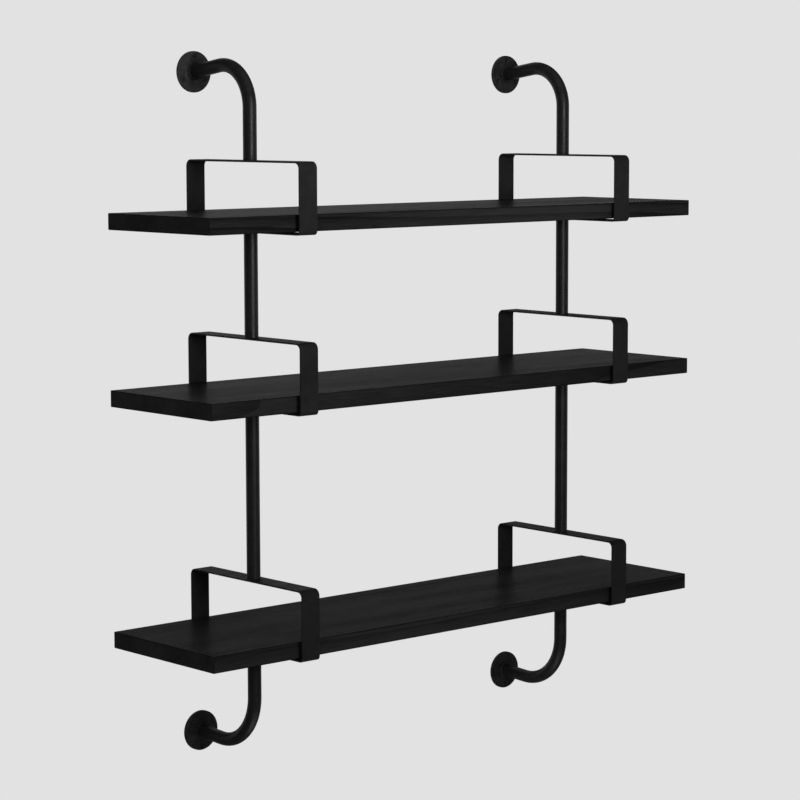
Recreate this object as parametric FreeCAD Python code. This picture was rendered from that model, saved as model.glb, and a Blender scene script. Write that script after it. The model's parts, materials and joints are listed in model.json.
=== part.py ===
"""Wall-hung shelving unit: three boards in loops of flat bar, joined by pipes into two uprights.

All lengths are in millimetres. +X runs right along the boards, +Y runs back into the wall and +Z runs up.
The origin lies on the wall plane, midway between the two uprights and midway between the heights of the
upper and the lower flanges.
"""

import math
import os

import FreeCAD, Part

# Boards
BOARD_LENGTH = 1200.0
BOARD_DEPTH = 295.0
BOARD_THICKNESS = 30.0
BOARD_CHAMFER = 1.0

# Loops of flat bar
BAR_WIDTH = 40.0
BAR_THICKNESS = 3.0
BAR_EDGE_RADIUS = 0.4
TOP_BEND_INNER_RADIUS = 9.5
BOTTOM_BEND_INNER_RADIUS = 5.0
LOOP_HEADROOM = 89.0
BOARD_FRONT_CLEARANCE = 10.0
BOARD_BACK_CLEARANCE = 14.0

# Pipes
PIPE_DIAMETER = 25.0
PIPE_WALL = 2.0
UPRIGHT_SPACING = 786.0
UPPER_PIPE_LENGTH = 188.0
LOWER_PIPE_LENGTH = 310.0
TOP_HOOK_RISE = 158.0
TOP_BEND_RADIUS = 76.0
TOP_BEND_ANGLE = 98.0
BOTTOM_HOOK_DROP = 182.0
BOTTOM_BEND_RADIUS = 95.0
BOTTOM_BEND_ANGLE = 93.0
WALL_GAP = 3.0

# Wall flanges
FLANGE_DIAMETER = 75.0
FLANGE_THICKNESS = 5.0
FLANGE_RIM_RADIUS = 0.8
FLANGE_HOLE_CIRCLE = 56.0
FLANGE_HOLE_COUNT = 3
FLANGE_HOLE_DIAMETER = 5.0
FLANGE_SINK_DIAMETER = 11.0
WELD_LEG = 3.0

# Joint screws and the threaded plugs that take them
PLUG_LENGTH = 15.0
JOINT_SCREW_DIAMETER = 6.0
JOINT_SCREW_HEAD_DIAMETER = 11.0
JOINT_SCREW_LENGTH = 16.0
JOINT_SOCKET_WIDTH = 4.0
JOINT_SOCKET_DEPTH = 1.6

# Board screws and spacers
BOARD_SCREW_DIAMETER = 4.0
BOARD_SCREW_HEAD_DIAMETER = 8.0
BOARD_SCREW_LENGTH = 25.0
BOARD_SCREW_TIP_LENGTH = 4.0
BOARD_SCREW_SLOT_WIDTH = 1.2
BOARD_SCREW_SLOT_DEPTH = 1.0
BOARD_SCREW_CLEARANCE = 0.5
BOARD_SCREW_INSET = 60.0
SPACER_DIAMETER = 22.0
SPACER_THICKNESS = 3.0

# Sizes and places that follow from the ones above
LOOP_DEPTH = BOARD_DEPTH + BOARD_FRONT_CLEARANCE + BOARD_BACK_CLEARANCE + 2 * BAR_THICKNESS
LOOP_HEIGHT = LOOP_HEADROOM + BOARD_THICKNESS + SPACER_THICKNESS + 2 * BAR_THICKNESS
PIPE_RADIUS = PIPE_DIAMETER / 2
PIPE_BORE_RADIUS = PIPE_RADIUS - PIPE_WALL
PIPE_Y = -WALL_GAP - LOOP_DEPTH / 2
BOARD_FRONT_Y = PIPE_Y - LOOP_DEPTH / 2 + BAR_THICKNESS + BOARD_FRONT_CLEARANCE
BOARD_BACK_Y = BOARD_FRONT_Y + BOARD_DEPTH
UPRIGHT_PIPE_LENGTH = TOP_HOOK_RISE + UPPER_PIPE_LENGTH + LOWER_PIPE_LENGTH + BOTTOM_HOOK_DROP
FLANGE_HEIGHT_APART = UPRIGHT_PIPE_LENGTH + 3 * LOOP_HEIGHT
TOP_FLANGE_Z = FLANGE_HEIGHT_APART / 2
BOTTOM_FLANGE_Z = -FLANGE_HEIGHT_APART / 2

# Height of the underside of each loop
LOOP_BASE_Z = {"top": TOP_FLANGE_Z - TOP_HOOK_RISE - LOOP_HEIGHT}
LOOP_BASE_Z["middle"] = LOOP_BASE_Z["top"] - UPPER_PIPE_LENGTH - LOOP_HEIGHT
LOOP_BASE_Z["bottom"] = LOOP_BASE_Z["middle"] - LOWER_PIPE_LENGTH - LOOP_HEIGHT
UPRIGHT_X = {"left": -UPRIGHT_SPACING / 2, "right": UPRIGHT_SPACING / 2}

UP = FreeCAD.Vector(0, 0, 1)
DOWN = FreeCAD.Vector(0, 0, -1)
BACK = FreeCAD.Vector(0, 1, 0)
FRONT = FreeCAD.Vector(0, -1, 0)
RIGHT = FreeCAD.Vector(1, 0, 0)


def board_base_z(level):
    """Height of a board's underside, which rests on the spacers."""
    return LOOP_BASE_Z[level] + BAR_THICKNESS + SPACER_THICKNESS


def board_screw_places(level):
    """Points on the outside of the bottom bars where the board screws enter: two in each loop."""
    return [
        FreeCAD.Vector(x, y, LOOP_BASE_Z[level])
        for x in UPRIGHT_X.values()
        for y in (BOARD_FRONT_Y + BOARD_SCREW_INSET, BOARD_BACK_Y - BOARD_SCREW_INSET)
    ]


def joint_screw_places(side):
    """Inner faces of each loop's two bars on the pipe's axis, with the direction in which the screw goes."""
    x = UPRIGHT_X[side]
    places = []
    for base in LOOP_BASE_Z.values():
        places.append((FreeCAD.Vector(x, PIPE_Y, base + LOOP_HEIGHT - BAR_THICKNESS), UP))
        places.append((FreeCAD.Vector(x, PIPE_Y, base + BAR_THICKNESS), DOWN))
    return places


def countersunk_body(shank_radius, head_radius, length, start, direction):
    """Solid of a 90 degree countersunk head and its shank, measured from the head's flat face."""
    head_depth = head_radius - shank_radius
    head = Part.makeCone(head_radius, shank_radius, head_depth, start, direction)
    shank = Part.makeCylinder(shank_radius, length, start, direction)
    return head.fuse(shank).removeSplitter()


def rounded_ring_face(inner_depth, inner_height, grow):
    """Rounded rectangle in the YZ plane: the loop's inner outline, grown outward by one amount all round."""
    left = -inner_depth / 2 - grow
    right = inner_depth / 2 + grow
    low = -grow
    high = inner_height + grow
    top = TOP_BEND_INNER_RADIUS + grow
    bottom = BOTTOM_BEND_INNER_RADIUS + grow
    # Centre of each bend with its radius and the angle at which its quarter circle starts
    bends = [
        (right - top, high - top, top, 0),
        (left + top, high - top, top, 90),
        (left + bottom, low + bottom, bottom, 180),
        (right - bottom, low + bottom, bottom, 270),
    ]
    arcs = [quarter_arc(y, z, radius, angle) for y, z, radius, angle in bends]
    edges = []
    for number, arc in enumerate(arcs):
        following = arcs[(number + 1) % len(arcs)]
        edges.append(arc.toShape())
        edges.append(Part.makeLine(arc.EndPoint, following.StartPoint))
    return Part.Face(Part.Wire(edges))


def quarter_arc(y, z, radius, start_angle):
    """Quarter circle in the YZ plane, counter-clockwise from start_angle in degrees, 0 being +Y."""
    points = []
    for turn in (0, 45, 90):
        angle = math.radians(start_angle + turn)
        points.append(FreeCAD.Vector(0, y + radius * math.cos(angle), z + radius * math.sin(angle)))
    return Part.Arc(*points)


def make_board(level):
    """Solid board with broken edges and blind pilot holes for its screws."""
    base = board_base_z(level)
    corner = FreeCAD.Vector(-BOARD_LENGTH / 2, BOARD_FRONT_Y, base)
    block = Part.makeBox(BOARD_LENGTH, BOARD_DEPTH, BOARD_THICKNESS, corner)
    board = block.makeChamfer(BOARD_CHAMFER, block.Edges)
    holes = [board_screw_shank(place) for place in board_screw_places(level)]
    return board.cut(holes)


def board_screw_shank(place):
    """Shank and conical tip of one board screw, from the bar's outer face upward."""
    radius = BOARD_SCREW_DIAMETER / 2
    straight = BOARD_SCREW_LENGTH - BOARD_SCREW_TIP_LENGTH
    shank = Part.makeCylinder(radius, straight, place, UP)
    tip = Part.makeCone(radius, 0, BOARD_SCREW_TIP_LENGTH, place + UP * straight, UP)
    return shank.fuse(tip)


def make_loop(level, side):
    """Closed loop of flat bar with countersunk holes for its joint screws and its board screws."""
    inner_depth = LOOP_DEPTH - 2 * BAR_THICKNESS
    inner_height = LOOP_HEIGHT - 2 * BAR_THICKNESS
    outline = rounded_ring_face(inner_depth, inner_height, BAR_THICKNESS)
    opening = rounded_ring_face(inner_depth, inner_height, 0)
    ring = outline.cut(opening).extrude(RIGHT * BAR_WIDTH)
    long_edges = [
        edge for edge in ring.Edges
        if edge.BoundBox.XLength < BAR_EDGE_RADIUS
    ]
    ring = ring.makeFillet(BAR_EDGE_RADIUS, long_edges)
    x = UPRIGHT_X[side]
    ring.translate(FreeCAD.Vector(x - BAR_WIDTH / 2, PIPE_Y, LOOP_BASE_Z[level] + BAR_THICKNESS))
    sinks = [
        countersunk_body(JOINT_SCREW_DIAMETER / 2, JOINT_SCREW_HEAD_DIAMETER / 2, BAR_THICKNESS, start, way)
        for start, way in joint_screw_places(side)
        if LOOP_BASE_Z[level] < start.z < LOOP_BASE_Z[level] + LOOP_HEIGHT
    ]
    for place in board_screw_places(level):
        if abs(place.x - x) < BAR_WIDTH / 2:
            sinks.append(board_screw_sink(place))
    return ring.cut(sinks)


def board_screw_sink(place):
    """Clearance hole through the bottom bar, countersunk on the outside for the screw's head."""
    head = BOARD_SCREW_HEAD_DIAMETER / 2
    shank = BOARD_SCREW_DIAMETER / 2
    seat = Part.makeCone(head, shank, head - shank, place, UP)
    hole = Part.makeCylinder(shank + BOARD_SCREW_CLEARANCE / 2, BAR_THICKNESS, place, UP)
    return seat.fuse(hole)


def pipe_ring(centre, axis):
    """Flat ring face with the pipe's section, square to the axis."""
    outer = Part.Face(Part.Wire(Part.makeCircle(PIPE_RADIUS, centre, axis)))
    inner = Part.Face(Part.Wire(Part.makeCircle(PIPE_BORE_RADIUS, centre, axis)))
    return outer.cut(inner)


def make_straight_pipe(side, low_z, high_z):
    """Straight pipe between two loops."""
    foot = FreeCAD.Vector(UPRIGHT_X[side], PIPE_Y, low_z)
    return pipe_ring(foot, UP).extrude(UP * (high_z - low_z))


def tail_direction(way, bend_angle):
    """Direction in which a hook's end runs to the wall. Past 90 degrees it leans back toward its loop."""
    slant = math.radians(bend_angle - 90)
    return BACK * math.cos(slant) - way * math.sin(slant)


def make_hook(side, start_z, flange_z, bend_radius, bend_angle):
    """Pipe from a loop, up or down, bent back to the middle of its flange and cut flat on its face."""
    way = UP if flange_z > start_z else DOWN
    back = tail_direction(way, bend_angle)
    foot = FreeCAD.Vector(UPRIGHT_X[side], PIPE_Y, start_z)
    face = FreeCAD.Vector(UPRIGHT_X[side], -FLANGE_THICKNESS, flange_z)
    # From the start of the bend to its end, then on along the straight end to the flange
    bend = BACK * (bend_radius * (1 - way.dot(back))) + way * (bend_radius * BACK.dot(back))
    tail_length = (face.y - PIPE_Y - bend.y) / back.y
    bend_start = face - back * tail_length - bend
    upright = pipe_ring(foot, UP).extrude(bend_start - foot)
    elbow = pipe_ring(bend_start, UP).revolve(bend_start + BACK * bend_radius, way.cross(BACK), bend_angle)
    tail = pipe_ring(bend_start + bend, back).extrude(back * (tail_length + PIPE_DIAMETER))
    corner = face - FreeCAD.Vector(PIPE_DIAMETER, 0, PIPE_DIAMETER)
    beyond_face = Part.makeBox(2 * PIPE_DIAMETER, 2 * PIPE_DIAMETER, 2 * PIPE_DIAMETER, corner)
    return upright.fuse([elbow, tail]).removeSplitter().cut(beyond_face)


def make_flange(side, flange_z, way, bend_angle):
    """Round plate with a weld bead around its pipe and countersunk holes, the first one toward way."""
    x = UPRIGHT_X[side]
    back = FreeCAD.Vector(x, 0, flange_z)
    face = FreeCAD.Vector(x, -FLANGE_THICKNESS, flange_z)
    plate = Part.makeCylinder(FLANGE_DIAMETER / 2, FLANGE_THICKNESS, back, FRONT)
    rim = [edge for edge in plate.Edges if edge.BoundBox.YMax < -FLANGE_THICKNESS / 2]
    plate = plate.makeFillet(FLANGE_RIM_RADIUS, rim)
    bead = Part.makeCone(PIPE_RADIUS + WELD_LEG, PIPE_RADIUS, WELD_LEG, face, FRONT)
    leaning = tail_direction(way, bend_angle)
    pipe = Part.makeCylinder(PIPE_RADIUS, 2 * PIPE_DIAMETER, face + leaning * PIPE_DIAMETER, -leaning)
    bead = bead.cut(pipe)
    bore = FLANGE_HOLE_DIAMETER / 2
    sink = FLANGE_SINK_DIAMETER / 2
    holes = []
    for number in range(FLANGE_HOLE_COUNT):
        turn = FreeCAD.Rotation(BACK, 360 * number / FLANGE_HOLE_COUNT)
        place = face + turn.multVec(way) * (FLANGE_HOLE_CIRCLE / 2)
        holes.append(countersunk_body(bore, sink, FLANGE_THICKNESS, place, BACK))
    return plate.fuse(bead).removeSplitter().cut(holes)


def make_plug(side, end_z, way):
    """Threaded plug in the end of a pipe. The pipe leaves end_z in the direction of way."""
    end = FreeCAD.Vector(UPRIGHT_X[side], PIPE_Y, end_z)
    plug = Part.makeCylinder(PIPE_BORE_RADIUS, PLUG_LENGTH, end, way)
    return plug.cut(Part.makeCylinder(JOINT_SCREW_DIAMETER / 2, PLUG_LENGTH, end, way))


def make_joint_screw(start, way):
    """Countersunk machine screw with a hexagon socket, its head flush with the bar's inner face."""
    screw = countersunk_body(
        JOINT_SCREW_DIAMETER / 2, JOINT_SCREW_HEAD_DIAMETER / 2, JOINT_SCREW_LENGTH, start, way
    )
    corner_radius = JOINT_SOCKET_WIDTH / math.sqrt(3)
    corners = []
    for number in range(7):
        angle = math.radians(60 * number)
        spoke = FreeCAD.Vector(math.cos(angle), math.sin(angle), 0)
        corners.append(start + spoke * corner_radius)
    socket = Part.Face(Part.makePolygon(corners)).extrude(way * JOINT_SOCKET_DEPTH)
    return screw.cut(socket)


def make_board_screw(place):
    """Countersunk wood screw with a cross slot, its head flush with the bar's outer face."""
    head = BOARD_SCREW_HEAD_DIAMETER / 2
    shank = BOARD_SCREW_DIAMETER / 2
    sunk_head = Part.makeCone(head, shank, head - shank, place, UP)
    screw = board_screw_shank(place).fuse(sunk_head).removeSplitter()
    slots = []
    for along, across in ((head, BOARD_SCREW_SLOT_WIDTH), (BOARD_SCREW_SLOT_WIDTH, head)):
        corner = place - FreeCAD.Vector(along / 2, across / 2, 0)
        slots.append(Part.makeBox(along, across, BOARD_SCREW_SLOT_DEPTH, corner))
    return screw.cut(slots)


def make_spacer(place):
    """Rubber washer around a board screw, between the bottom bar and the board."""
    base = place + UP * BAR_THICKNESS
    washer = Part.makeCylinder(SPACER_DIAMETER / 2, SPACER_THICKNESS, base, UP)
    return washer.cut(Part.makeCylinder(BOARD_SCREW_DIAMETER / 2, SPACER_THICKNESS, base, UP))


def upright_nodes(side):
    """Pipes, plugs, joint screws and flanges of one upright, from the top down."""
    loop_top = {level: base + LOOP_HEIGHT for level, base in LOOP_BASE_Z.items()}
    nodes = {}
    nodes[f"flange_top_{side}"] = [make_flange(side, TOP_FLANGE_Z, UP, TOP_BEND_ANGLE)]
    nodes[f"top_hook_{side}"] = [
        make_hook(side, loop_top["top"], TOP_FLANGE_Z, TOP_BEND_RADIUS, TOP_BEND_ANGLE)
    ]
    nodes[f"top_hook_plug_{side}"] = [make_plug(side, loop_top["top"], UP)]
    for name, above, below in (("upper_pipe", "top", "middle"), ("lower_pipe", "middle", "bottom")):
        low, high = loop_top[below], LOOP_BASE_Z[above]
        nodes[f"{name}_{side}"] = [make_straight_pipe(side, low, high)]
        nodes[f"{name}_plugs_{side}"] = [make_plug(side, low, UP), make_plug(side, high, DOWN)]
    nodes[f"bottom_hook_{side}"] = [
        make_hook(side, LOOP_BASE_Z["bottom"], BOTTOM_FLANGE_Z, BOTTOM_BEND_RADIUS, BOTTOM_BEND_ANGLE)
    ]
    nodes[f"bottom_hook_plug_{side}"] = [make_plug(side, LOOP_BASE_Z["bottom"], DOWN)]
    nodes[f"flange_bottom_{side}"] = [make_flange(side, BOTTOM_FLANGE_Z, DOWN, BOTTOM_BEND_ANGLE)]
    nodes[f"joint_screws_{side}"] = [make_joint_screw(*place) for place in joint_screw_places(side)]
    return nodes


def level_nodes(level):
    """One board with the loops around it and what holds it down."""
    places = board_screw_places(level)
    nodes = {f"board_{level}": [make_board(level)]}
    for side in UPRIGHT_X:
        nodes[f"loop_{level}_{side}"] = [make_loop(level, side)]
    nodes[f"spacers_{level}"] = [make_spacer(place) for place in places]
    nodes[f"board_screws_{level}"] = [make_board_screw(place) for place in places]
    return nodes


def main():
    nodes = {}
    for level in LOOP_BASE_Z:
        nodes.update(level_nodes(level))
    for side in UPRIGHT_X:
        nodes.update(upright_nodes(side))
    os.makedirs("parts", exist_ok=True)
    for name, shapes in nodes.items():
        solids = [solid for shape in shapes for solid in shape.Solids]
        node = solids[0] if len(solids) == 1 else Part.makeCompound(solids)
        node.exportStep(f"parts/{name}.step")
        print(f"{name}: {len(solids)} solid(s), {node.Volume / 1000:.2f} cm3")


main()
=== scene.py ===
import json
import math

import bmesh
import bpy
from mathutils import Matrix, Vector


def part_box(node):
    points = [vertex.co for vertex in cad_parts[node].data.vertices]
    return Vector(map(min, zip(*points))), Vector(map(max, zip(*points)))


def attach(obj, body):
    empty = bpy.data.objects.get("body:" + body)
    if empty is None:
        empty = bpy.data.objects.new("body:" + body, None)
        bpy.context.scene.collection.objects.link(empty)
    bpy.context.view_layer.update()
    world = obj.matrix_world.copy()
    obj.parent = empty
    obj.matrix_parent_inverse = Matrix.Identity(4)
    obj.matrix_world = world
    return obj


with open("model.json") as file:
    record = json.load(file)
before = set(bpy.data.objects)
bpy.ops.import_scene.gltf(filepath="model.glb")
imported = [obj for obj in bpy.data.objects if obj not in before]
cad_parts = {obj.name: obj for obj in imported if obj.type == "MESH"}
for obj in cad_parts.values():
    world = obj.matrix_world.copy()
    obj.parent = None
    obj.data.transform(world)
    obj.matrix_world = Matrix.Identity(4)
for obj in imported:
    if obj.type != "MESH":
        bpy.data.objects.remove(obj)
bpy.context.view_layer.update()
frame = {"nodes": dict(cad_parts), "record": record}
board_low, board_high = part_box("board_top")

# Lengths are in metres, texture scales in cycles per metre and colours are linear greys.

# Camera: a long lens, left of the unit, turned right and a little down
CAMERA_PLACE = (-3.275, -3.821, 0.547)
CAMERA_YAW = math.radians(41.54)
CAMERA_PITCH = math.radians(-6.43)
CAMERA_ROLL = math.radians(0.13)
CAMERA_REACH = 200.0
CAMERA_LENS_MM = 117.1
SENSOR_MM = 36.0

# Light on the unit
SKY_LIGHT_LEFT = 1.02
SKY_LIGHT_RIGHT = 0.02
SKY_LIGHT_OVERHEAD = 0.35
OVERHEAD_FROM = 0.8
LAMPS = {
    "key": {"place": (-0.62, -2.70, 0.50), "target": (0.0, 0.0, 0.58),
            "size": (0.8, 0.8), "spread": 84.0, "power": 7.9},
    "over": {"place": (0.0, -0.90, 1.90), "target": (0.0, -0.20, 0.25),
             "size": (2.4, 1.2), "spread": 180.0, "power": 4.0},
    "back": {"place": (1.4, 3.0, 2.4), "target": (0.0, -0.16, 0.0),
             "size": (2.0, 2.0), "spread": 180.0, "power": 8.0},
    "under": {"place": (-0.10, -0.55, -1.35), "target": (0.0, -0.15, -0.60),
              "size": (1.0, 0.4), "spread": 110.0, "power": 1.0},
    "fill": {"place": (0.4, 3.4, 0.35), "target": (0.0, -0.16, 0.0),
             "size": (3.0, 2.0), "spread": 180.0, "power": 80.0, "glossy": False},
}

# Backdrop: its grey as seen and, in reflections, where it gives way to dark curtains. A pair holds how far a
# direction reaches, toward the backdrop or upward, where that begins and ends.
BACKDROP_GREY = 0.7605
CURTAIN_GREY = 0.03
BACKDROP_TOWARD = (0.68, 0.73, 0.0)
BACKDROP_SIDES = (0.0, 0.5)
BACKDROP_TOP = (0.0, 0.33)
BACKDROP_FOOT = (-0.50, -0.12)
FOOT_SHADE = 0.15

# Floor: as seen, half paint and half glow under the unit, and the plain backdrop further off
FLOOR_Z = -1.45
FLOOR_HALF_SIZE = 40.0
FLOOR_GREY = 0.60
FLOOR_GLOW = 1.04
NEAR_GLOW_SHARE = 0.5
SHADOW_FLOOR_REACH = 1.3
PLAIN_FLOOR_REACH = 2.3

# Powder coats
# Painted light: the loops share one black coat, given a lighter grey on the top loops and darker greys lower
# down.
BAR_PAINTED_LIGHT_GREYS = {"loop_top": 0.0157, "loop_middle": 0.0130, "loop_bottom": 0.0128}
PIPE_GREY = 0.0115
# Painted light: the flanges share one black coat, given the lightest grey at the top left, a darker one at
# the top right and the darkest at the bottom.
FLANGE_PAINTED_LIGHT_GREYS = {"flange_top_left": 0.0255, "flange_top_right": 0.0150,
                "flange_bottom_left": 0.0110, "flange_bottom_right": 0.0105}
WELD_GREY = 0.0150
BAR_COAT = {"specular": 0.15, "roughness": 0.55, "grain": 1.0, "mottle": 0.20}
PIPE_COAT = {"specular": 0.26, "roughness": 0.43, "grain": 0.6, "mottle": 0.25, "relief": 0.00006}
FLANGE_COAT = {"specular": 0.30, "roughness": 0.46, "grain": 1.3, "mottle": 0.55, "patch_scale": 95.0}
WELD_COAT = {"specular": 0.10, "roughness": 0.60, "grain": 1.3, "mottle": 0.35}
COAT_GRAIN_SCALE = 1500.0
COAT_PEEL_SCALE = 300.0
COAT_SMEAR_SCALE = 7.0
COAT_EDGE_WIDTH = 0.0009
COAT_RUB = 0.35
WORN_GREY = 0.030

# Stained wood. Shift and pith place the growth rings, depth is their contrast, and pale is a paler stretch
# in the front edge: its middle along the board, half its length and its gain.
WOODS = {
    "top": {"shift": (0.3, 0.17, -0.42), "pith": (0, 0.02, -0.10),
            "depth": 1.3, "pale": (0.1, 0.42, 0.36)},
    "middle": {"shift": (1.9, 0.10, 0.05), "pith": (0, 0.01, 0.11),
               "depth": 1.0, "pale": (-0.25, 0.85, 0.22)},
    "bottom": {"shift": (3.1, 0.16, 0.40), "pith": (0, 0.12, 0.0),
               "depth": 1.0, "pale": (-0.3, 1.1, 0.20)},
}
BOARD_FRONT_Y = board_low[1]
BOARD_HALF_SIZE = [(far - near) / 2 for near, far in zip(board_low, board_high)]
# Painted shade along the boards' edges: the band it darkens, its darkest core and the share of the wood's
# tone left there.
ARRIS_SHADE_WIDTH = 0.0032
ARRIS_SHADE_CORE = 0.0006
ARRIS_PAINTED_SHADE = 0.30
WOOD_DARK = 0.0075
WOOD_LIGHT = 0.0290
WOOD_SPECULAR = 0.0060
WOOD_ROUGHNESS = 0.37
GRAIN_STRETCH = (0.09, 1.0, 1.0)
GRAIN_BEND = (0.0, 0.045, 0.045)
GRAIN_BEND_SCALE = 5.0
RINGS_PER_METRE = 210.0
RING_SHARPNESS = 2.5
FIBRE_SCALE = (14.0, 620.0, 620.0)
FIBRE_SHARE = 0.50
FLECK_SCALE = (40.0, 1300.0, 1300.0)
STAIN_SCALE = (1.6, 14.0, 14.0)
STAIN_SHARE = 0.50
RING_SHARE = 0.42
PORE_SHARE = 0.20
WOOD_RELIEF = 0.00015

# Bare and blackened steel, and rubber: a pair is the lowest and the highest value
STEEL_GREYS = (0.30, 0.42)
STEEL_ROUGHNESS = (0.28, 0.42)
STREAK_SCALE = (900.0, 900.0, 60.0)
STREAK_RELIEF = 0.00003
OXIDE = {"grey": 0.030, "roughness": 0.42}
PHOSPHATE = {"grey": 0.022, "roughness": 0.55}
SCREW_PIT_SCALE = 2600.0
SCREW_PIT_RELIEF = 0.00002
SCREW_EDGE_WIDTH = 0.0004
SCREW_RUB = 0.4
SCREW_WORN_GREY = 0.12
RUBBER_GREYS = (0.008, 0.018)
RUBBER_ROUGHNESS = (0.72, 0.88)
RUBBER_GRAIN_SCALE = 1800.0
RUBBER_BLOOM_SCALE = 40.0
RUBBER_RELIEF = 0.00005

# Wall screws: countersunk heads with a cross recess in the holes of the flanges
FLANGE_FACE_Y = -0.005
FLANGE_HOLE_CIRCLE = 0.056
FLANGE_HOLE_COUNT = 3
WALL_SCREW_HEAD = 0.0090
WALL_SCREW_LIP = 0.0002
WALL_SCREW_SHANK = 0.0045
WALL_SCREW_SINK = 0.0009
WALL_SCREW_END = 0.0003
RECESS_REACH = 0.0023
RECESS_HALF_WIDTH = 0.0006
RECESS_DEPTH = 0.0013
RECESS_REACH_TAPER = 0.55
RECESS_WIDTH_TAPER = 0.7
RECESS_TURN = 0.5
RECESS_TURN_PER_SCREW = 0.9
RECESS_TURN_PER_WAY = 0.4

# Weld beads around the pipes where they meet the flanges. Slant is a pipe's rise away from the wall.
PIPE_RADIUS = 0.0125
PIPE_SLANT = {"top": math.radians(8.0), "bottom": math.radians(-3.0)}
BEAD_RADIUS = 0.0033
BEAD_STEPS = 9
BEAD_RIPPLES = 42
POINTS_PER_RIPPLE = 6
RIPPLE_HEIGHT = 0.00013
WOBBLE_HEIGHT = 0.00012


# ---------------------------------------------------------------- node helpers

class NodeKit:
    """Short calls that add and wire the nodes of one tree."""

    def __init__(self, tree):
        self.tree = tree
        tree.nodes.clear()

    def add(self, kind, **settings):
        node = self.tree.nodes.new(kind)
        for key, value in settings.items():
            setattr(node, key, value)
        return node

    def link(self, source, target):
        self.tree.links.new(source, target)

    def feed(self, socket, value):
        """Links a socket, or sets the value on the socket itself."""
        if isinstance(value, bpy.types.NodeSocket):
            self.link(value, socket)
        else:
            socket.default_value = value

    def place(self, offset=(0, 0, 0), scale=(1, 1, 1)):
        """The object's own coordinates, scaled and moved."""
        where = self.add("ShaderNodeTexCoord")
        mapping = self.add("ShaderNodeMapping")
        mapping.inputs["Location"].default_value = offset
        mapping.inputs["Scale"].default_value = scale
        self.link(where.outputs["Object"], mapping.inputs["Vector"])
        return mapping.outputs["Vector"]

    def split(self, vector):
        """The X, Y and Z sockets of a vector."""
        parts = self.add("ShaderNodeSeparateXYZ")
        self.link(vector, parts.inputs[0])
        return parts.outputs

    def noise(self, vector, scale=1.0, detail=3.0, roughness=0.5, output="Fac"):
        node = self.add("ShaderNodeTexNoise")
        self.link(vector, node.inputs["Vector"])
        node.inputs["Scale"].default_value = scale
        node.inputs["Detail"].default_value = detail
        node.inputs["Roughness"].default_value = roughness
        return node.outputs[output]

    def math(self, operation, first, second=0.0, clamp=False):
        node = self.add("ShaderNodeMath", operation=operation, use_clamp=clamp)
        self.feed(node.inputs[0], first)
        self.feed(node.inputs[1], second)
        return node.outputs["Value"]

    def vector_math(self, operation, first, second=(0, 0, 0), output="Vector"):
        node = self.add("ShaderNodeVectorMath", operation=operation)
        self.feed(node.inputs[0], first)
        self.feed(node.inputs[1], second)
        return node.outputs[output]

    def remap(self, value, from_low, from_high, to_low, to_high, smooth=False):
        node = self.add("ShaderNodeMapRange", interpolation_type="SMOOTHSTEP" if smooth else "LINEAR")
        self.link(value, node.inputs["Value"])
        node.inputs["From Min"].default_value = from_low
        node.inputs["From Max"].default_value = from_high
        node.inputs["To Min"].default_value = to_low
        node.inputs["To Max"].default_value = to_high
        return node.outputs["Result"]

    def stretch(self, noise, low, high):
        """The usual run of a noise, stretched to lie between two values."""
        return self.remap(noise, 0.3, 0.7, low, high)

    def tint(self, grey, factor):
        """A grey colour scaled by a factor."""
        node = self.add("ShaderNodeMix", data_type="RGBA", blend_type="MULTIPLY")
        node.inputs[0].default_value = 1.0
        node.inputs[6].default_value = (grey, grey, grey, 1.0)
        self.link(factor, node.inputs[7])
        return node.outputs[2]

    def mix(self, share, first, second):
        """Colour between two colours or greys."""
        node = self.add("ShaderNodeMix", data_type="RGBA")
        self.feed(node.inputs[0], share)
        for socket, value in ((node.inputs[6], first), (node.inputs[7], second)):
            self.feed(socket, (value, value, value, 1.0) if isinstance(value, float) else value)
        return node.outputs[2]

    def glow(self, kind, strength, grey=1.0):
        """A plain Background or Emission shader."""
        node = self.add(kind)
        node.inputs["Color"].default_value = (grey, grey, grey, 1)
        self.feed(node.inputs["Strength"], strength)
        return node.outputs[0]

    def mix_shaders(self, share, first, second):
        node = self.add("ShaderNodeMixShader")
        self.feed(node.inputs[0], share)
        self.link(first, node.inputs[1])
        self.link(second, node.inputs[2])
        return node.outputs["Shader"]

    def bump(self, height, distance, strength):
        node = self.add("ShaderNodeBump")
        self.link(height, node.inputs["Height"])
        node.inputs["Distance"].default_value = distance
        node.inputs["Strength"].default_value = strength
        return node.outputs["Normal"]

    def edge_mask(self, radius):
        """1 on sharp edges within the radius, 0 on the faces."""
        bevel = self.add("ShaderNodeBevel", samples=4)
        bevel.inputs["Radius"].default_value = radius
        geometry = self.add("ShaderNodeNewGeometry")
        turn = self.vector_math("DOT_PRODUCT", bevel.outputs["Normal"], geometry.outputs["Normal"], "Value")
        return self.remap(turn, 0.99, 0.80, 0.0, 1.0)


def new_material(name):
    """A node material with its Principled shader."""
    material = bpy.data.materials.new(name)
    material.use_nodes = True
    nodes = NodeKit(material.node_tree)
    shader = nodes.add("ShaderNodeBsdfPrincipled")
    output = nodes.add("ShaderNodeOutputMaterial")
    nodes.link(shader.outputs["BSDF"], output.inputs["Surface"])
    return material, nodes, shader


# ------------------------------------------------------------------- materials

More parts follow.
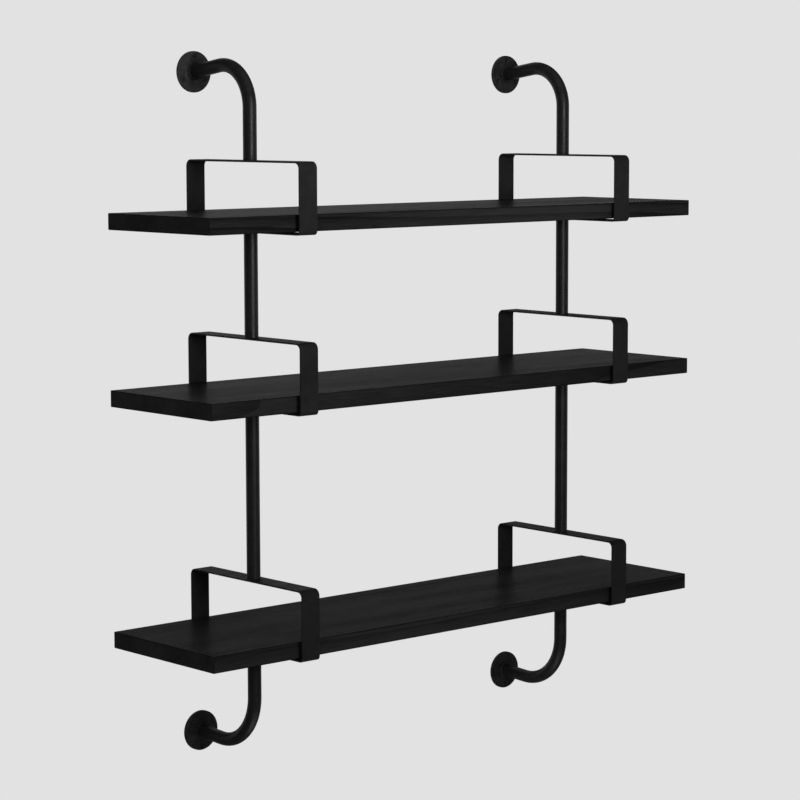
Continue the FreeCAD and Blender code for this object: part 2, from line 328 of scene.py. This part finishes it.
def powder_coat(name, grey, specular, roughness, grain, mottle, patch_scale=45.0, relief=0.00012):
    """Fine-textured black powder coat: grain, orange peel, soft mottling and slightly rubbed edges."""
    material, nodes, shader = new_material(name)
    where = nodes.place()
    fine = nodes.noise(where, COAT_GRAIN_SCALE, detail=2.0)
    peel = nodes.noise(where, COAT_PEEL_SCALE, detail=2.0)
    cloud = nodes.noise(where, patch_scale, detail=4.0, roughness=0.65)
    smear = nodes.noise(where, COAT_SMEAR_SCALE)
    patches = nodes.stretch(cloud, 1.0 - mottle, 1.0 + mottle)
    tone = nodes.math("MULTIPLY", patches, nodes.stretch(smear, 0.90, 1.10))
    edges = nodes.edge_mask(COAT_EDGE_WIDTH)
    rubbed = nodes.math("MULTIPLY", edges, nodes.remap(cloud, 0.42, 0.66, 0.0, COAT_RUB))
    nodes.link(nodes.mix(rubbed, nodes.tint(grey, tone), WORN_GREY), shader.inputs["Base Color"])
    gloss = nodes.math("ADD", nodes.stretch(cloud, -0.06, 0.06), nodes.stretch(fine, -0.05, 0.05))
    nodes.link(nodes.math("ADD", gloss, roughness), shader.inputs["Roughness"])
    shader.inputs["Specular IOR Level"].default_value = specular
    height = nodes.math("ADD", nodes.math("MULTIPLY", fine, grain), peel)
    nodes.link(nodes.bump(height, relief, 0.6), shader.inputs["Normal"])
    return material


def arris_shade_mask(nodes):
    """Where a board's painted shade falls: 1 on its faces, rising to 2 along its edges and 3 at its corners.
    """
    where = nodes.add("ShaderNodeTexCoord").outputs["Generated"]
    off_centre = nodes.vector_math("ABSOLUTE", nodes.vector_math("SUBTRACT", where, (0.5, 0.5, 0.5)))
    near = nodes.add("ShaderNodeMapRange", data_type="FLOAT_VECTOR")
    nodes.link(off_centre, near.inputs["Vector"])
    from_min, from_max = near.inputs[7], near.inputs[8]
    from_min.default_value = [0.5 - ARRIS_SHADE_WIDTH / (2 * half) for half in BOARD_HALF_SIZE]
    from_max.default_value = [0.5 - ARRIS_SHADE_CORE / (2 * half) for half in BOARD_HALF_SIZE]
    return nodes.vector_math("DOT_PRODUCT", near.outputs["Vector"], (1, 1, 1), "Value")


def late_wood(nodes, shift, pith):
    """Dark late wood of the growth rings, which are wavy shells around a pith line along the board."""
    along = nodes.place(shift, GRAIN_STRETCH)
    bend = nodes.noise(along, GRAIN_BEND_SCALE, detail=2.0, roughness=0.4, output="Color")
    bent = nodes.vector_math("ADD", along, nodes.vector_math("MULTIPLY", bend, GRAIN_BEND))
    across = nodes.vector_math("MULTIPLY", nodes.vector_math("SUBTRACT", bent, pith), (0.0, 1.0, 1.0))
    reach = nodes.vector_math("LENGTH", across, output="Value")
    ring_share = nodes.math("FRACT", nodes.math("MULTIPLY", reach, RINGS_PER_METRE))
    return nodes.math("POWER", ring_share, RING_SHARPNESS)


def pale_stretch(nodes, middle, half_length, gain):
    """Added tone along a stretch of a board's front edge."""
    parts = nodes.split(nodes.place())
    away = nodes.math("ABSOLUTE", nodes.math("SUBTRACT", parts["X"], middle))
    share = nodes.remap(away, 0.4 * half_length, half_length, gain, 0.0, smooth=True)
    front = nodes.remap(parts["Y"], BOARD_FRONT_Y + 0.001, BOARD_FRONT_Y + 0.012, 1.0, 0.0)
    return nodes.math("MULTIPLY", share, front)


def stained_wood(name, shift, pith, depth, pale):
    """Black-stained open-grained wood: growth rings, fibres, pores, a cloudy stain, and painted shade that
    darkens the board's edges.
    """
    material, nodes, shader = new_material(name)
    late = late_wood(nodes, shift, pith)
    fibre = nodes.noise(nodes.place(shift, FIBRE_SCALE), detail=3.0, roughness=0.6)
    flecks = nodes.noise(nodes.place(shift, FLECK_SCALE), detail=1.0)
    pores = nodes.remap(flecks, 0.58, 0.70, 0.0, 1.0)
    stain = nodes.noise(nodes.place(shift, STAIN_SCALE), detail=4.0, roughness=0.6)
    tone = nodes.math("ADD", nodes.stretch(fibre, 0.0, FIBRE_SHARE), nodes.stretch(stain, 0.0, STAIN_SHARE))
    tone = nodes.math("SUBTRACT", tone, nodes.math("MULTIPLY", late, RING_SHARE * depth))
    tone = nodes.math("SUBTRACT", tone, nodes.math("MULTIPLY", pores, PORE_SHARE), clamp=True)
    tone = nodes.math("ADD", tone, pale_stretch(nodes, *pale))
    # Painted shade: the wood's tone darkens toward the board's edges and most at its corners.
    arris_shade = nodes.remap(arris_shade_mask(nodes), 1.0, 2.0, 1.0, ARRIS_PAINTED_SHADE, smooth=True)
    tone = nodes.math("MULTIPLY", tone, arris_shade)
    nodes.link(nodes.mix(tone, WOOD_DARK, WOOD_LIGHT), shader.inputs["Base Color"])
    rough = nodes.remap(tone, 0.0, 0.8, WOOD_ROUGHNESS + 0.06, WOOD_ROUGHNESS - 0.06)
    nodes.link(rough, shader.inputs["Roughness"])
    shader.inputs["Specular IOR Level"].default_value = WOOD_SPECULAR
    furrows = nodes.math("ADD", pores, nodes.math("MULTIPLY", late, 0.5))
    height = nodes.math("SUBTRACT", nodes.math("MULTIPLY", fibre, 0.6), furrows)
    nodes.link(nodes.bump(height, WOOD_RELIEF, 0.7), shader.inputs["Normal"])
    return material


def bare_steel(name):
    """Bare steel with fine streaks along Z, the axis of the plugs."""
    material, nodes, shader = new_material(name)
    streaks = nodes.noise(nodes.place(scale=STREAK_SCALE), detail=2.0)
    nodes.link(nodes.mix(streaks, *STEEL_GREYS), shader.inputs["Base Color"])
    shader.inputs["Metallic"].default_value = 1.0
    nodes.link(nodes.stretch(streaks, *STEEL_ROUGHNESS), shader.inputs["Roughness"])
    nodes.link(nodes.bump(streaks, STREAK_RELIEF, 0.5), shader.inputs["Normal"])
    return material


def black_screw(name, grey, roughness):
    """Blackened steel with fine pits and rubbed edges."""
    material, nodes, shader = new_material(name)
    pits = nodes.noise(nodes.place(), SCREW_PIT_SCALE, detail=2.0)
    base = nodes.mix(nodes.stretch(pits, 0.0, 1.0), grey, 1.6 * grey)
    rubbed = nodes.math("MULTIPLY", nodes.edge_mask(SCREW_EDGE_WIDTH), SCREW_RUB)
    nodes.link(nodes.mix(rubbed, base, SCREW_WORN_GREY), shader.inputs["Base Color"])
    shader.inputs["Metallic"].default_value = 0.8
    nodes.link(nodes.stretch(pits, roughness - 0.08, roughness + 0.08), shader.inputs["Roughness"])
    nodes.link(nodes.bump(pits, SCREW_PIT_RELIEF, 0.6), shader.inputs["Normal"])
    return material


def rubber(name):
    """Matte black rubber with a faint bloom."""
    material, nodes, shader = new_material(name)
    grain = nodes.noise(nodes.place(), RUBBER_GRAIN_SCALE)
    bloom = nodes.noise(nodes.place(), RUBBER_BLOOM_SCALE)
    nodes.link(nodes.mix(bloom, *RUBBER_GREYS), shader.inputs["Base Color"])
    nodes.link(nodes.stretch(grain, *RUBBER_ROUGHNESS), shader.inputs["Roughness"])
    shader.inputs["Specular IOR Level"].default_value = 0.3
    nodes.link(nodes.bump(grain, RUBBER_RELIEF, 0.5), shader.inputs["Normal"])
    return material


# ---------------------------------------------------------------------- studio

def add_to_scene(name, data):
    thing = bpy.data.objects.new(name, data)
    bpy.context.scene.collection.objects.link(thing)
    return thing


def make_camera():
    data = bpy.data.cameras.new("camera")
    data.lens = CAMERA_LENS_MM
    data.sensor_width = SENSOR_MM
    data.clip_end = CAMERA_REACH
    camera = add_to_scene("camera", data)
    camera.location = CAMERA_PLACE
    camera.rotation_euler = (math.radians(90.0) + CAMERA_PITCH, CAMERA_ROLL, -CAMERA_YAW)
    bpy.context.scene.camera = camera


def reflected_grey(nodes, direction):
    """What a reflection sees: the pale backdrop behind the unit and dark curtains beside and above it."""
    up = nodes.split(direction)["Z"]
    toward = nodes.vector_math("DOT_PRODUCT", direction, BACKDROP_TOWARD, "Value")
    behind = nodes.remap(toward, *BACKDROP_SIDES, 0.0, 1.0, smooth=True)
    low = nodes.remap(up, *BACKDROP_TOP, 1.0, 0.0, smooth=True)
    foot = nodes.remap(up, *BACKDROP_FOOT, FOOT_SHADE, 1.0, smooth=True)
    share = nodes.math("MULTIPLY", nodes.math("MULTIPLY", behind, low), foot)
    return nodes.remap(share, 0.0, 1.0, CURTAIN_GREY, BACKDROP_GREY)


def ray_kinds(nodes):
    """Two masks: rays that show the plain backdrop, straight or through something clear, and reflections."""
    paths = nodes.add("ShaderNodeLightPath")
    seen = nodes.math("MAXIMUM", paths.outputs["Is Camera Ray"], paths.outputs["Is Transmission Ray"])
    return seen, paths.outputs["Is Glossy Ray"]


def make_world():
    """Soft light mostly from the left, the backdrop's grey as seen, and the studio in reflections."""
    world = bpy.data.worlds.new("world")
    world.use_nodes = True
    nodes = NodeKit(world.node_tree)
    seen, glossy = ray_kinds(nodes)
    direction = nodes.add("ShaderNodeTexCoord").outputs["Generated"]
    parts = nodes.split(direction)
    side = nodes.remap(parts["X"], -1.0, 1.0, SKY_LIGHT_LEFT, SKY_LIGHT_RIGHT)
    height = nodes.remap(parts["Z"], 0.0, OVERHEAD_FROM, 1.0, SKY_LIGHT_OVERHEAD, smooth=True)
    sky = nodes.glow("ShaderNodeBackground", nodes.math("MULTIPLY", side, height))
    mirrored = nodes.glow("ShaderNodeBackground", reflected_grey(nodes, direction))
    backdrop = nodes.glow("ShaderNodeBackground", 1.0, BACKDROP_GREY)
    lit = nodes.mix_shaders(glossy, sky, mirrored)
    output = nodes.add("ShaderNodeOutputWorld")
    nodes.link(nodes.mix_shaders(seen, lit, backdrop), output.inputs["Surface"])
    bpy.context.scene.world = world


def make_floor():
    """Pale floor. It takes the unit's shadow near the unit and turns into the plain backdrop further off."""
    half = FLOOR_HALF_SIZE
    corners = [(x, y, FLOOR_Z) for x, y in ((-half, -half), (half, -half), (half, half), (-half, half))]
    mesh = bpy.data.meshes.new("floor")
    mesh.from_pydata(corners, [], [(0, 1, 2, 3)])
    floor = add_to_scene("floor", mesh)
    material = bpy.data.materials.new("floor_paint")
    material.use_nodes = True
    nodes = NodeKit(material.node_tree)
    seen, glossy = ray_kinds(nodes)
    paint = nodes.add("ShaderNodeBsdfDiffuse")
    paint.inputs["Color"].default_value = (FLOOR_GREY, FLOOR_GREY, FLOOR_GREY, 1)
    distance = nodes.vector_math("LENGTH", nodes.place((0.0, 0.0, -FLOOR_Z)), output="Value")
    far = nodes.remap(distance, SHADOW_FLOOR_REACH, PLAIN_FLOOR_REACH, NEAR_GLOW_SHARE, 1.0, smooth=True)
    brightness = nodes.remap(far, NEAR_GLOW_SHARE, 1.0, FLOOR_GLOW, BACKDROP_GREY)
    glow = nodes.glow("ShaderNodeEmission", brightness)
    direction = nodes.vector_math("NORMALIZE", nodes.place())
    mirrored = nodes.glow("ShaderNodeEmission", reflected_grey(nodes, direction))
    shown = nodes.mix_shaders(nodes.math("MULTIPLY", seen, far), paint.outputs["BSDF"], glow)
    output = nodes.add("ShaderNodeOutputMaterial")
    nodes.link(nodes.mix_shaders(glossy, shown, mirrored), output.inputs["Surface"])
    mesh.materials.append(material)


def area_light(name, place, target, size, spread, power, glossy=True):
    """Soft rectangular lamp aimed at a point, unseen by the camera, and in reflections only if glossy."""
    data = bpy.data.lights.new(name, "AREA")
    data.shape = "RECTANGLE"
    data.size, data.size_y = size
    data.spread = math.radians(spread)
    data.energy = power
    lamp = add_to_scene(name, data)
    lamp.location = place
    lamp.rotation_euler = (Vector(target) - Vector(place)).to_track_quat("-Z", "Y").to_euler()
    lamp.visible_camera = False
    lamp.visible_glossy = glossy


# ---------------------------------------------------------------------- pieces

def flange_centre(name):
    """The point on the wall behind a flange's middle."""
    low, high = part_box(name)
    return Vector(((low[0] + high[0]) / 2, 0.0, (low[2] + high[2]) / 2))


def add_piece(name, shape, material):
    """A new object, made from a bmesh, that rides on the unit's one body."""
    mesh = bpy.data.meshes.new(name)
    shape.to_mesh(mesh)
    shape.free()
    mesh.materials.append(material)
    piece = add_to_scene(name, mesh)
    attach(piece, "root")


def cross_outline(reach, half_width):
    """Corners of a plus sign, counter-clockwise."""
    corner = [(reach, -half_width), (reach, half_width), (half_width, half_width)]
    points = []
    for quarter in range(4):
        turn = Matrix.Rotation(math.radians(90 * quarter), 2)
        points += [turn @ Vector(point) for point in corner]
    return points


def circle(radius, count=48):
    angles = [2 * math.pi * i / count for i in range(count)]
    return [(radius * math.cos(a), radius * math.sin(a)) for a in angles]


def ring(shape, points, height):
    return [shape.verts.new((x, y, height)) for x, y in points]


def bridge(shape, lower, upper):
    """Band of faces between two closed rings with equally many points."""
    count = len(lower)
    for i in range(count):
        j = (i + 1) % count
        shape.faces.new((lower[i], lower[j], upper[j], upper[i]))


def wall_screw_shape(face_depth):
    """One countersunk screw along -Z from the flange's face at z = 0, down to just above the wall."""
    shape = bmesh.new()
    head = WALL_SCREW_HEAD / 2
    shank = WALL_SCREW_SHANK / 2
    top = -WALL_SCREW_SINK
    lip = ring(shape, circle(head - WALL_SCREW_LIP), top)
    rim = ring(shape, circle(head), top - WALL_SCREW_LIP)
    neck = ring(shape, circle(shank), top - WALL_SCREW_LIP - (head - shank))
    end = ring(shape, circle(shank), -face_depth + WALL_SCREW_END)
    bridge(shape, rim, lip)
    bridge(shape, neck, rim)
    bridge(shape, end, neck)
    shape.faces.new(list(reversed(end)))
    narrow = cross_outline(RECESS_REACH * RECESS_REACH_TAPER, RECESS_HALF_WIDTH * RECESS_WIDTH_TAPER)
    mouth = ring(shape, cross_outline(RECESS_REACH, RECESS_HALF_WIDTH), top)
    waist = ring(shape, narrow, top - RECESS_DEPTH)
    bridge(shape, waist, mouth)
    shape.faces.new(waist)
    edges = []
    for points in (lip, mouth):
        for i, point in enumerate(points):
            following = points[(i + 1) % len(points)]
            edges.append(shape.edges.get((point, following)))
    bmesh.ops.triangle_fill(shape, use_beauty=True, edges=edges, normal=(0, 0, 1))
    bmesh.ops.recalc_face_normals(shape, faces=shape.faces)
    return shape


def wall_screws(flange, way, material):
    """Three screws in one flange; the first hole lies in the direction of way, +1 up or -1 down."""
    centre = flange_centre(flange)
    face_depth = -FLANGE_FACE_Y
    whole = bmesh.new()
    for number in range(FLANGE_HOLE_COUNT):
        single = wall_screw_shape(face_depth)
        turn = Matrix.Rotation(2 * math.pi * number / FLANGE_HOLE_COUNT, 4, "Y")
        spot = centre + turn @ Vector((0, -face_depth, way * FLANGE_HOLE_CIRCLE / 2))
        angle = RECESS_TURN + RECESS_TURN_PER_SCREW * number + RECESS_TURN_PER_WAY * way
        aim = Matrix.Rotation(math.radians(90), 4, "X") @ Matrix.Rotation(angle, 4, "Z")
        single.transform(Matrix.Translation(spot) @ aim)
        part = bpy.data.meshes.new("screw")
        single.to_mesh(part)
        single.free()
        whole.from_mesh(part)
        bpy.data.meshes.remove(part)
    add_piece(flange.replace("flange", "wall_screws"), whole, material)


def bead_size(angle, rise):
    """The bead's radius at one place, with its ripples and a slow unevenness around the pipe."""
    ripple = math.sin(BEAD_RIPPLES * angle + 1.3 * math.cos(rise))
    wobble = math.sin(3 * angle + 0.7) + 0.6 * math.sin(7 * angle + 2.1)
    return BEAD_RADIUS + RIPPLE_HEIGHT * ripple + WOBBLE_HEIGHT * wobble


def weld_bead(flange, material):
    """Rippled fillet weld between a flange's face and its pipe, which leaves the face at its own slant."""
    centre = flange_centre(flange)
    lean = math.tan(PIPE_SLANT["top" if "top" in flange else "bottom"])
    around = BEAD_RIPPLES * POINTS_PER_RIPPLE
    angles = [2 * math.pi * i / around for i in range(around)]
    shape = bmesh.new()
    rings = []
    for step in range(BEAD_STEPS + 1):
        rise = math.radians(90) * step / BEAD_STEPS
        points = []
        for angle in angles:
            size = bead_size(angle, rise)
            out = PIPE_RADIUS + size * math.cos(rise)
            proud = size * math.sin(rise)
            x = centre.x + out * math.cos(angle)
            z = centre.z + out * math.sin(angle) + proud * lean
            points.append(shape.verts.new((x, FLANGE_FACE_Y - proud, z)))
        rings.append(points)
    root = []
    for angle in angles:
        x = centre.x + PIPE_RADIUS * math.cos(angle)
        root.append(shape.verts.new((x, FLANGE_FACE_Y, centre.z + PIPE_RADIUS * math.sin(angle))))
    rings.append(root)
    for lower, upper in zip(rings, rings[1:] + rings[:1]):
        bridge(shape, lower, upper)
    bmesh.ops.recalc_face_normals(shape, faces=shape.faces)
    for face in shape.faces:
        face.smooth = True
    add_piece(flange.replace("flange", "weld_bead"), shape, material)


def dress(node, material):
    """Gives a CAD node its one material; its shape stays."""
    data = frame["nodes"][node].data
    data.materials.clear()
    data.materials.append(material)


def dress_cad_nodes(screw_black):
    """Every CAD node keeps its shape and takes the detailed finish of its slot."""
    # Painted light: each level of loops takes its own grey of the one coat, lighter higher up.
    for level, grey in BAR_PAINTED_LIGHT_GREYS.items():
        coat = powder_coat("coat_" + level, grey, **BAR_COAT)
        for side in ("left", "right"):
            dress(f"{level}_{side}", coat)
    # Painted light: each flange takes its own grey of the one coat, lightest at the top left.
    for flange, grey in FLANGE_PAINTED_LIGHT_GREYS.items():
        dress(flange, powder_coat("coat_" + flange, grey, **FLANGE_COAT))
    for level, wood in WOODS.items():
        dress("board_" + level, stained_wood("wood_" + level, **wood))
    finishes = {
        "pipes": powder_coat("coat_pipe", PIPE_GREY, **PIPE_COAT),
        "plugs": bare_steel("plug_steel"),
        "machine_screws": black_screw("black_oxide", **OXIDE),
        "wood_screws": screw_black,
        "spacers": rubber("spacer_rubber"),
    }
    for part in frame["record"]["subparts"]:
        if part["material_slot"] in finishes:
            dress(part["node"], finishes[part["material_slot"]])


def add_flange_details(screw_black):
    weld_coat = powder_coat("coat_weld", WELD_GREY, **WELD_COAT)
    for flange in sorted(FLANGE_PAINTED_LIGHT_GREYS):
        way = 1 if "top" in flange else -1
        wall_screws(flange, way, screw_black)
        weld_bead(flange, weld_coat)


make_camera()
make_world()
make_floor()
for name, lamp in LAMPS.items():
    area_light(name, **lamp)
screw_black = black_screw("black_phosphate", **PHOSPHATE)
dress_cad_nodes(screw_black)
add_flange_details(screw_black)
bpy.context.scene.view_settings.view_transform = "Standard"

bpy.context.view_layer.update()
